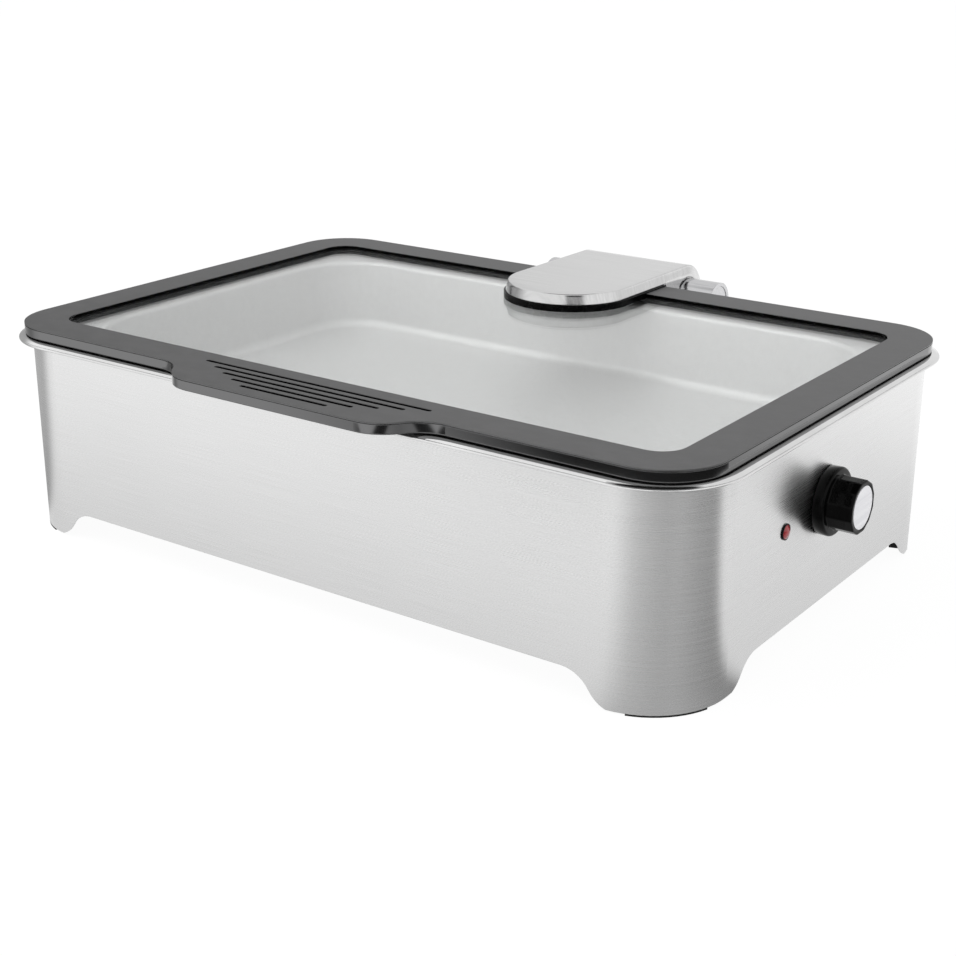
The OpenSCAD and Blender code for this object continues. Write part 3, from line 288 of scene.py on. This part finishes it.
looks = {
    "brushed_steel": dict(colors=(even(0.765), even(0.815)), rough=(0.25, 0.31), stretch=(14.0, 14.0, 2600.0),
                          metallic=1.0, relief=0.0000012, blotch=0.04, Anisotropic=0.75,
                          Anisotropic_Rotation=0.25),
    "cap_steel": dict(colors=(even(0.63), even(0.70)), rough=(0.11, 0.17), stretch=(9.0, 700.0, 60.0),
                      metallic=1.0, relief=0.000001, blotch=0.03),
    "polished_steel": dict(colors=(even(0.74), even(0.82)), rough=(0.03, 0.07), stretch=even(25.0),
                           metallic=1.0, relief=0.00001, blotch=0.03),
    "satin_steel": dict(colors=(even(0.615), even(0.665)), rough=(0.52, 0.60), stretch=even(220.0),
                        metallic=0.75, relief=0.00001, blotch=0.06),
    "galvanised_steel": dict(colors=((0.42, 0.43, 0.44), (0.66, 0.67, 0.68)), rough=(0.32, 0.5),
                             stretch=even(70.0), metallic=1.0, relief=0.00003, detail=1.0),
    "bracket_steel": dict(colors=((0.56, 0.56, 0.57), (0.64, 0.64, 0.65)), rough=(0.12, 0.18),
                          stretch=(30.0, 900.0, 900.0), metallic=1.0, relief=0.0000005, blotch=0.02),
    "plated_steel": dict(colors=((0.62, 0.61, 0.58), (0.76, 0.75, 0.73)), rough=(0.2, 0.34),
                         stretch=even(220.0), metallic=1.0, relief=0.00001, blotch=0.08),
    "chrome": dict(colors=((0.80, 0.80, 0.81), even(0.88)), rough=(0.05, 0.12), stretch=even(60.0),
                   metallic=1.0, relief=0.000003, blotch=0.04),
    "aluminium": dict(colors=((0.62, 0.63, 0.64), (0.78, 0.78, 0.79)), rough=(0.28, 0.42),
                      stretch=(300.0, 12.0, 300.0), metallic=1.0, relief=0.00002),
    "pale_disc": dict(colors=((0.84, 0.84, 0.87), (0.93, 0.93, 0.95)), rough=(0.34, 0.46),
                      stretch=(300.0, 12.0, 300.0), metallic=1.0, relief=0.00001),
    "heater_sheath": dict(colors=((0.13, 0.11, 0.10), (0.30, 0.26, 0.23)), rough=(0.4, 0.6),
                          stretch=even(40.0), metallic=1.0, relief=0.00003),
    "copper_tube": dict(colors=((0.66, 0.33, 0.19), (0.86, 0.50, 0.34)), rough=(0.24, 0.4),
                        stretch=even(120.0), metallic=1.0, relief=0.00001, blotch=0.1),
    "black_rubber": dict(colors=(even(0.004), even(0.011)), rough=(0.45, 0.65), stretch=even(500.0),
                         relief=0.00005, Specular_IOR_Level=0.15),
    "gloss_rubber": dict(colors=(even(0.001), even(0.003)), rough=(0.10, 0.18), stretch=even(260.0),
                         relief=0.000005, blotch=0.05, Specular_IOR_Level=0.06),
    "black_plastic": dict(colors=(even(0.001), even(0.002)), rough=(0.05, 0.09), stretch=even(350.0),
                          relief=0.000003, blotch=0.02, Specular_IOR_Level=0.08),
    "red_lens": dict(colors=((0.26, 0.012, 0.016), (0.42, 0.03, 0.035)), rough=(0.08, 0.18),
                     stretch=even(300.0), relief=0.00001, Coat_Weight=0.6, Subsurface_Weight=0.2),
    "nylon": dict(colors=((0.68, 0.66, 0.60), (0.76, 0.74, 0.69)), rough=(0.35, 0.5), stretch=even(150.0),
                  relief=0.00002, Subsurface_Weight=0.1),
    "ceramic": dict(colors=((0.74, 0.72, 0.67), (0.82, 0.80, 0.76)), rough=(0.3, 0.5), stretch=even(180.0),
                    relief=0.00004),
    "wire_cover": dict(colors=((0.62, 0.60, 0.55), (0.72, 0.70, 0.66)), rough=(0.5, 0.66),
                       stretch=even(700.0), relief=0.00008),
}
finishes = {name: finish(name, **look) for name, look in looks.items()}
finishes["grey_plastic"] = frame_finish()
finishes["clear_glass"] = glass_finish()

# Parts whose look differs from that of their slot
own_finish = {"water_basin": "polished_steel", "hinge_pad": "gloss_rubber", "knob_face": "pale_disc",
              "hinge_bracket": "bracket_steel", "barrel_caps": "bracket_steel", "hinge_leaf": "bracket_steel"}
slots_of = {part["node"]: part["material_slot"] for part in frame["record"]["subparts"]}
for node, slot in slots_of.items():
    solid = frame["nodes"][node]
    solid.data.materials.clear()
    solid.data.materials.append(finishes[own_finish.get(node, slot)])


def skin(name, grids, look, body, node, inside, thickness=0.0):
    """One smooth mesh over grids of points (rows by columns by xyz), facing away from a point inside it."""
    points = np.concatenate([grid.reshape(-1, 3) for grid in grids])
    quads = []
    start = 0
    for grid in grids:
        rows, columns = grid.shape[:2]
        index = start + np.arange(rows * columns).reshape(rows, columns)
        corners = (index[:-1, :-1], index[1:, :-1], index[1:, 1:], index[:-1, 1:])
        quads.append(np.stack(corners, axis=-1).reshape(-1, 4))
        start += rows * columns
    mesh = bpy.data.meshes.new(name)
    mesh.from_pydata(points.tolist(), [], np.concatenate(quads).tolist())
    work = bmesh.new()
    work.from_mesh(mesh)
    bmesh.ops.remove_doubles(work, verts=work.verts, dist=1e-6)
    outward = sum(f.normal.dot(f.calc_center_median() - Vector(inside)) * f.calc_area() for f in work.faces)
    if outward < 0:
        bmesh.ops.reverse_faces(work, faces=work.faces)
    work.to_mesh(mesh)
    work.free()
    mesh.polygons.foreach_set("use_smooth", np.ones(len(mesh.polygons), bool))
    piece = bpy.data.objects.new(name, mesh)
    bpy.context.collection.objects.link(piece)
    piece.data.materials.append(finishes[look])
    if thickness:
        sheet = piece.modifiers.new("sheet", "SOLIDIFY")
        sheet.thickness = thickness
        sheet.offset = -1.0
    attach(piece, body)
    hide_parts(node)


def steps(start, end, count):
    """Places from start to end at equal steps, without the start itself."""
    return np.linspace(start, end, count + 1)[1:]


# Hinge cap: its side stands this deep and leans in by this much, its edge is this round, and its rear part
# comes this near the axis
CAP_SIDE, CAP_LEAN, CAP_EDGE, CAP_SHEET, CAP_NOTCH = 0.0085, 0.0020, 0.0009, 0.0015, 0.018
# Its deep rear sides start behind the body's rear wall, and end this high
CAP_STEP, CAP_REAR_LOW = (0.0035, 0.006), 0.1502


def hinge_cap():
    """A sheet over a D-shaped plan, bent down behind round the hinge axis.

    A row is one place along the cap's edge, from right rear to nose to left rear. It runs from the middle
    outwards over the top, round the edge and down the leaning side:
    middle + reach * outwards - drop * upwards.
    """
    low, high = node_box("hinge_cap")
    pin_low, pin_high = node_box("hinge_pin")
    axis_y, axis_z = ((pin_low + pin_high) / 2)[1:]
    half, bend = (high[0] - low[0]) / 2, high[2] - axis_z
    middle_x, nose_y = high[0] - half, low[1] + half

    # One side from behind: the straight drop, the bend round the axis, and the top as far as the nose
    drop_z = steps(axis_z, low[2], 3)[::-1]
    turn = np.radians(np.linspace(90, 0, 19))
    step = BODY_HIGH[1] + np.array(CAP_STEP)
    top_y = [steps(axis_y, step[1], 23), steps(step[1], step[0], 9), steps(step[0], nose_y, 8)]
    top_y = np.concatenate(top_y)
    side_y = np.concatenate([0 * drop_z + axis_y + bend, axis_y + bend * np.sin(turn), top_y])
    side_z = np.concatenate([drop_z, axis_z + bend * np.cos(turn), 0 * top_y + high[2]])
    tilt = np.concatenate([0 * drop_z + math.pi / 2, turn, 0 * top_y])
    notch = bend - np.sqrt(np.maximum(0, CAP_NOTCH ** 2 - (axis_y - top_y) ** 2))
    part = np.clip((top_y - step[0]) / (step[1] - step[0]), 0, 1)
    part = part * part * (3 - 2 * part)
    top_deep = CAP_SIDE + part * (np.minimum(high[2] - CAP_REAR_LOW, notch) - CAP_SIDE)
    side_deep = np.concatenate([np.full(len(drop_z) + len(turn), bend - CAP_NOTCH), top_deep])

    # The right side, the nose and the left side
    nose = np.radians(steps(0, 180, 72)[:-1])
    row_y = np.concatenate([side_y, 0 * nose + nose_y, side_y[::-1]])
    row_z = np.concatenate([side_z, 0 * nose + high[2], side_z[::-1]])
    tilt = np.concatenate([tilt, 0 * nose, tilt[::-1]])
    deep = np.concatenate([side_deep, 0 * nose + CAP_SIDE, side_deep[::-1]])
    angle = np.concatenate([0 * side_y, nose, 0 * side_y + math.pi])
    middle = np.stack([0 * row_y + middle_x, row_y, row_z], axis=1)
    up = np.stack([0 * tilt, np.sin(tilt), np.cos(tilt)], axis=1)
    outwards = np.stack([np.cos(angle), -np.sin(angle), 0 * angle], axis=1)

    # Along a row: the top, the round edge and the side
    round_off = np.radians(np.linspace(0, 90, 7))
    edge = half - CAP_LEAN - CAP_EDGE * (1 - np.sin(round_off))
    down = CAP_EDGE + (deep[:, None] - CAP_EDGE) * steps(0, 1, 6)
    lean = np.clip((CAP_SIDE - down) / (CAP_SIDE - CAP_EDGE), 0, 1)
    top_reach = np.concatenate([steps(edge[0], 0, 5)[::-1], edge])
    top_drop = np.concatenate([np.zeros(5), CAP_EDGE * (1 - np.cos(round_off))])
    reach = np.concatenate([np.tile(top_reach, (len(deep), 1)), half - CAP_LEAN * lean], axis=1)
    drop = np.concatenate([np.tile(top_drop, (len(deep), 1)), down], axis=1)
    grid = middle[:, None] + reach[..., None] * outwards[:, None] - drop[..., None] * up[:, None]
    inside = (middle_x, nose_y, high[2] - CAP_SIDE)
    skin("cap_skin", [grid], "cap_steel", "lid", "hinge_cap", inside, CAP_SHEET)


# Food pan: width and corner of its flange, corner of its opening, and its depth, lean, bends and sheet
FLANGE_W, FLANGE_R, OPENING_R = 0.0256, 0.0426, 0.058
PAN_DEPTH, PAN_LEAN, PAN_TOP_BEND, PAN_FLOOR_BEND, PAN_SHEET = 0.0550, 9.0, 0.004, 0.009, 0.001
# Points round each corner, and rows on the floor
PAN_CORNER_POINTS, PAN_FLOOR_ROWS = 13, 5


def food_pan():
    """A drawn sheet: rounded rectangles carried down a profile, from the flange's edge to the floor's middle.

    A row is a rectangle pulled in by an inset, at a drop below the flange, with its own corner radius:
    flange, bend, leaning wall, bend, and a floor whose rectangles shrink to the middle.
    """
    low, high = node_box("food_pan")
    middle, half = (low + high) / 2, (high - low) / 2
    lean = math.radians(90 - PAN_LEAN)
    turns = np.linspace(0, lean, 9)
    wall = (PAN_DEPTH - (PAN_TOP_BEND + PAN_FLOOR_BEND) * (1 - math.cos(lean))) / math.sin(lean)
    flange = np.linspace(0, FLANGE_W, 4)[:-1]
    bend = FLANGE_W + PAN_TOP_BEND * np.sin(turns)
    foot = bend[-1] + wall * math.cos(lean) + PAN_FLOOR_BEND * (math.sin(lean) - np.sin(turns[::-1]))
    inset = np.concatenate([flange, bend, foot])
    drop = np.concatenate([0 * flange, PAN_TOP_BEND * (1 - np.cos(turns)),
                           PAN_DEPTH - PAN_FLOOR_BEND * (1 - np.cos(turns[::-1]))])
    floor_r = OPENING_R + FLANGE_W - inset[-1]
    corner = np.interp(inset, [0, FLANGE_W, inset[-1]], [FLANGE_R, OPENING_R, floor_r])
    size = np.concatenate([np.ones(len(inset)), steps(1, 0, PAN_FLOOR_ROWS)])
    inset, drop, corner = (np.pad(row, (0, PAN_FLOOR_ROWS), mode="edge") for row in (inset, drop, corner))
    quarters = [np.linspace(start, start + 90, PAN_CORNER_POINTS) for start in (0, 90, 180, 270)]
    angles = np.radians(np.concatenate(quarters + [[360]]))
    signs = np.repeat([[1, 1], [-1, 1], [-1, -1], [1, -1]], PAN_CORNER_POINTS, axis=0)
    signs = np.concatenate([signs, signs[:1]])
    around = np.stack([np.cos(angles), np.sin(angles)], axis=1)
    core = half[:2] - inset[:, None] - corner[:, None]
    flat = size[:, None, None] * (core[:, None] * signs + corner[:, None, None] * around)
    height = np.broadcast_to(high[2] - drop[:, None, None], flat.shape[:2] + (1,))
    grid = np.concatenate([middle[:2] + flat, height], axis=2)
    skin("pan_skin", [grid], "satin_steel", "base", "food_pan", (*middle[:2], -1), PAN_SHEET)


# Control knob: its grip's radius, the number of flats and how far their corners are eased as a share of that
# radius, the collar's depth, and how round the edges of the grip, the collar and its back are
GRIP_R, GRIP_FLATS, FLAT_EASE, COLLAR_DEPTH = 0.0181, 12, 0.008, 0.0078
KNOB_EDGE, COLLAR_EDGE, BACK_EDGE = 0.0009, 0.0018, 0.0004
# The fillet at the grip's foot: its width, a place on it as rise and width, and its rise.
# The lip round the disc: its width, and a place on it as depth and width
FOOT_W, FOOT_PLACE, FOOT_RISE = 0.0007, (0.0002, 0.0002), 0.0008
LIP_W, LIP_PLACE = 0.0008, (0.0003, 0.0003)


def control_knob():
    """A collar and a grip with flats, round the shaft: radius(x, angle) along a profile from back to front.

    On the collar the radius is the profile's. On the grip it is the profile's less the depth of the flat,
    which is grip_radius * (1 - cos(pi / flats) / cos(angle from the flat's middle)), with its corners eased.
    """
    low, high = node_box("control_knob")
    face_low, face_high = node_box("knob_face")
    y, z = ((low + high) / 2)[1:]
    collar, disc = (high[1] - low[1]) / 2, (face_high[1] - face_low[1]) / 2
    foot, end = low[0] + COLLAR_DEPTH, high[0]
    turns = np.radians(np.linspace(0, 90, 6))
    eased = np.stack([1 - np.sin(turns), 1 - np.cos(turns)], axis=1)
    # Stretches of the profile, as places (x, radius) and 1 where they have flats
    back = [(low[0], collar - BACK_EDGE), (low[0] + BACK_EDGE, collar)]
    grip = [(foot + FOOT_PLACE[0], GRIP_R + FOOT_PLACE[1]), (foot + FOOT_RISE, GRIP_R),
            ((foot + end) / 2, GRIP_R)]
    lip = [(end, disc + LIP_W), (end - LIP_PLACE[0], disc + LIP_PLACE[1]), (face_low[0], disc)]
    profile = [(back, 0), ((foot, collar) - COLLAR_EDGE * eased, 0), ([(foot, GRIP_R + FOOT_W)], 0),
               (grip, 1), ((end, GRIP_R) - KNOB_EDGE * eased, 1), (lip, 0)]
    x, radius = np.concatenate([places for places, _ in profile]).T[..., None]
    flats = np.concatenate([np.full((len(places), 1), flat) for places, flat in profile])
    angles = np.linspace(0, 2 * math.pi, GRIP_FLATS * 16 + 1)
    step = 2 * math.pi / GRIP_FLATS
    off = (angles + step / 2) % step - step / 2
    around = radius - flats * GRIP_R * np.maximum(1 - math.cos(step / 2) / np.cos(off), FLAT_EASE)
    grid = np.stack([x + 0 * around, y + around * np.sin(angles), z + around * np.cos(angles)], axis=2)
    skin("knob_skin", [grid], "black_plastic", "knob", "control_knob", (low[0], y, z))


# Screw heads: the cross is this wide, long and deep on a head of radius and height 1, with eased edges, and
# the head's crown falls off this much
CROSS_W, CROSS_L, CROSS_DEPTH, CROSS_EASE, HEAD_CROWN = 0.13, 0.62, 0.55, 0.12, 0.8
# Radius and height of a hinge screw's head and of a ring screw's, and the turn from one head to the next
HINGE_HEAD, RING_HEAD, HEAD_TURN = (0.0044, 0.0019), (0.0022, 0.0014), 0.7
# The ring screws stand at this share of the body's length and depth from each other
RING_STEP = (1 / 6, 1 / 4)


def screw_heads(node, body, places, outwards, head):
    """Round heads with a cross: height(r, angle) = sqrt(1 - (crown * r) ^ 4) less the depth of the cross.

    The cross is two slots at right angles, each fading out at its width and length. The first row is the
    foot of the head's side.
    """
    radius, height = head
    rings = np.linspace(1, 0, 22)[:, None]
    angles = np.linspace(0, 2 * math.pi, 65)
    u, v = rings * np.cos(angles), rings * np.sin(angles)
    slots = [np.clip((CROSS_W - abs(a)) / CROSS_EASE + 0.5, 0, 1)
             * np.clip((CROSS_L - abs(b)) / CROSS_EASE + 0.5, 0, 1) for a, b in ((u, v), (v, u))]
    rise = np.sqrt(1 - (HEAD_CROWN * rings) ** 4) - CROSS_DEPTH * np.maximum(*slots)
    rise = np.concatenate([np.zeros((1, len(angles))), rise])
    flat = np.stack([np.concatenate([u[:1], u]), np.concatenate([v[:1], v])], axis=-1)
    out = np.array(outwards, float)
    across = np.stack([np.roll(abs(out), 1), np.cross(out, np.roll(abs(out), 1))])
    grids = []
    for number, place in enumerate(places):
        cos, sin = math.cos(number * HEAD_TURN), math.sin(number * HEAD_TURN)
        turned = flat @ np.array(((cos, sin), (-sin, cos))) @ across
        grids.append(np.array(place) + radius * turned + height * rise[..., None] * out)
    skin(node + "_heads", grids, slots_of[node], body, node, np.mean(places, axis=0) - out)


def add_screws():
    """Places come from each node's box: a head's radius inside its ends, where the heads rest."""
    radius, height = HINGE_HEAD
    low, high = node_box("bracket_screws")
    places = [(x, high[1] - height, z) for x in (low[0] + radius, high[0] - radius)
              for z in (low[2] + radius, high[2] - radius)]
    screw_heads("bracket_screws", "base", places, (0, 1, 0), HINGE_HEAD)
    low, high = node_box("hinge_screws")
    places = [(x, y, low[2] + height) for x in (low[0] + radius, high[0] - radius)
              for y in (low[1] + radius, high[1] - radius)]
    screw_heads("hinge_screws", "lid", places, (0, 0, -1), HINGE_HEAD)
    radius, height = RING_HEAD
    low, high = node_box("ring_screws")
    pitch = (BODY_HIGH - BODY_LOW)[:2] * RING_STEP
    places = [(MIDDLE_X + i * pitch[0], y, low[2] + height) for i in range(-2, 3)
              for y in (low[1] + radius, high[1] - radius)]
    places += [(x, MIDDLE_Y + i * pitch[1], low[2] + height) for i in range(-1, 2)
               for x in (low[0] + radius, high[0] - radius)]
    screw_heads("ring_screws", "lid", places, (0, 0, -1), RING_HEAD)


add_screws()
hinge_cap()
food_pan()
control_knob()


def azimuth(x, y):
    """Degrees from the front towards +X."""
    return x.math("ARCTAN2", x, 0.0 - y) * math.degrees(1)


def left_shade(shade, around):
    """The studio's darker far left, by azimuth."""
    return 1.0 - (1.0 - LEFT_LEVEL) * shade.band(around, LEFT_IN, LEFT_OUT)


def add_world():
    """White to the camera and through glass, the studio in reflections, and an even ambient light."""
    world = bpy.data.worlds.new("studio")
    bpy.context.scene.world = world
    shade = Shade(world)
    x, y, z = shade.place("Generated")
    around = azimuth(x, y)
    panel = shade.band(around, PANEL_IN, PANEL_OUT) * (1.0 - shade.smooth(z, *PANEL_TOP))
    panel = panel.larger(shade.smooth(z, *CEILING))
    behind = shade.smooth(around.size(), *BACK_IN, 1.0, BACK_LEVEL)
    left = left_shade(shade, around)
    left = left + (1.0 - left) * shade.smooth(z, *LEFT_TOP)
    level = (1.0 - (1.0 - PANEL_LEVEL) * panel) * left * behind
    seen = shade.ray("Camera").larger(shade.ray("Transmission"))
    glossy = shade.ray("Glossy")
    strength = seen + (1.0 - seen) * (glossy * level + (1.0 - glossy) * AMBIENT)
    light = shade.add("Background", None, {"Color": (1.0, 1.0, 1.0, 1.0), "Strength": strength})
    shade.add("OutputWorld", None, {"Surface": light})


def add_floor():
    """A pale floor that keeps the object's shadow; reflections show it with painted shade round the body."""
    mesh = bpy.data.meshes.new("floor")
    corners = [(x * FLOOR_HALF, y * FLOOR_HALF, -FLOOR_DROP) for x, y in ((-1, -1), (1, -1), (1, 1), (-1, 1))]
    mesh.from_pydata(corners, [], [(0, 1, 2, 3)])
    floor = bpy.data.objects.new("floor", mesh)
    bpy.context.collection.objects.link(floor)
    material = bpy.data.materials.new("floor")
    shade = Shade(material)
    x, y = shade.place()[:2]
    off_x = (x - MIDDLE_X).size() - (RIGHT_X - MIDDLE_X)
    off_y = (y - MIDDLE_Y).size() - (REAR_Y - MIDDLE_Y)
    # Painted shade of the body: the floor is darker near it, seen only in reflections
    body_shade = shade.smooth(off_x.larger(off_y), *BODY_SHADE_FADE, *BODY_SHADE_LEVEL)
    near_x, near_y = x - (RIGHT_X - CORNER_R), y - (FRONT_Y + CORNER_R)
    # Painted shade, seen only in reflections: the floor is darker towards the far left
    left = left_shade(shade, azimuth(x - (LEFT_X + CORNER_R), near_y))
    around = azimuth(near_x, near_y)
    # Painted shade, seen only in reflections: a grey patch on the floor before the near corner
    grey = shade.smooth(around, GREY_IN[1], GREY_OUT[0], *GREY_LEVEL)
    grey = 1.0 - (1.0 - grey) * shade.band(around, GREY_IN, GREY_OUT)
    # Painted shade, seen only in reflections: a black strip on the floor round the near corner
    strip_x = near_x.larger(STRIP_LEFT)
    reach = shade.band((strip_x * strip_x + near_y * near_y) ** 0.5, STRIP_NEAR, STRIP_FAR)
    strip_shade = 1.0 - (1.0 - PANEL_LEVEL) * reach * shade.band(around, STRIP_IN, STRIP_OUT)
    seen = shade.ray("Camera").larger(shade.ray("Transmission"))
    glossy = shade.ray("Glossy") * (1.0 - seen)
    level = glossy * (body_shade * left * grey * strip_shade) + (1.0 - glossy)
    lit = shade.add("BsdfDiffuse", None, {"Color": (0.95, 0.95, 0.95, 1.0)})
    glow = shade.add("Emission", None, {"Strength": level * GLOW, "Color": (1.0, 1.0, 1.0, 1.0)})
    share = GLOW_SHARE + seen * GLOW_SEEN + glossy * GLOW_MIRRORED
    surface = shade.add("MixShader", None, {0: share, 1: lit, 2: glow})
    shade.add("OutputMaterial", None, {"Surface": surface})
    floor.data.materials.append(material)


def add_lamp():
    """A soft square lamp that faces the middle of the object and isn't seen in reflections."""
    data = bpy.data.lights.new("key", "AREA")
    data.size = LAMP_SIDE
    data.energy = LAMP_POWER
    lamp = bpy.data.objects.new("key", data)
    lamp.location = LAMP_PLACE
    aim = Vector(LAMP_AIM) - Vector(LAMP_PLACE)
    lamp.rotation_euler = aim.to_track_quat("-Z", "Y").to_euler()
    lamp.visible_glossy = False
    bpy.context.collection.objects.link(lamp)


def add_camera():
    """The photograph's camera: its back axis from azimuth and elevation, then turned by a small roll."""
    az, el, roll = (math.radians(angle) for angle in (CAM_AZ, CAM_EL, CAM_ROLL))
    back = Vector((math.sin(az) * math.cos(el), -math.cos(az) * math.cos(el), math.sin(el)))
    right = Vector((math.cos(az), math.sin(az), 0.0))
    up = back.cross(right)
    rolled_right = math.cos(roll) * right + math.sin(roll) * up
    rolled_up = math.cos(roll) * up - math.sin(roll) * right
    data = bpy.data.cameras.new("camera")
    data.sensor_fit = "HORIZONTAL"
    data.lens = CAM_LENS
    camera = bpy.data.objects.new("camera", data)
    place = Vector((MIDDLE_X, MIDDLE_Y, 0.0)) + Vector(CAM_FROM_BODY)
    axes = Matrix((rolled_right, rolled_up, back)).transposed()
    camera.matrix_world = Matrix.Translation(place) @ axes.to_4x4()
    bpy.context.collection.objects.link(camera)
    bpy.context.scene.camera = camera


add_world()
add_floor()
add_lamp()
add_camera()
bpy.context.scene.view_settings.view_transform = "Standard"
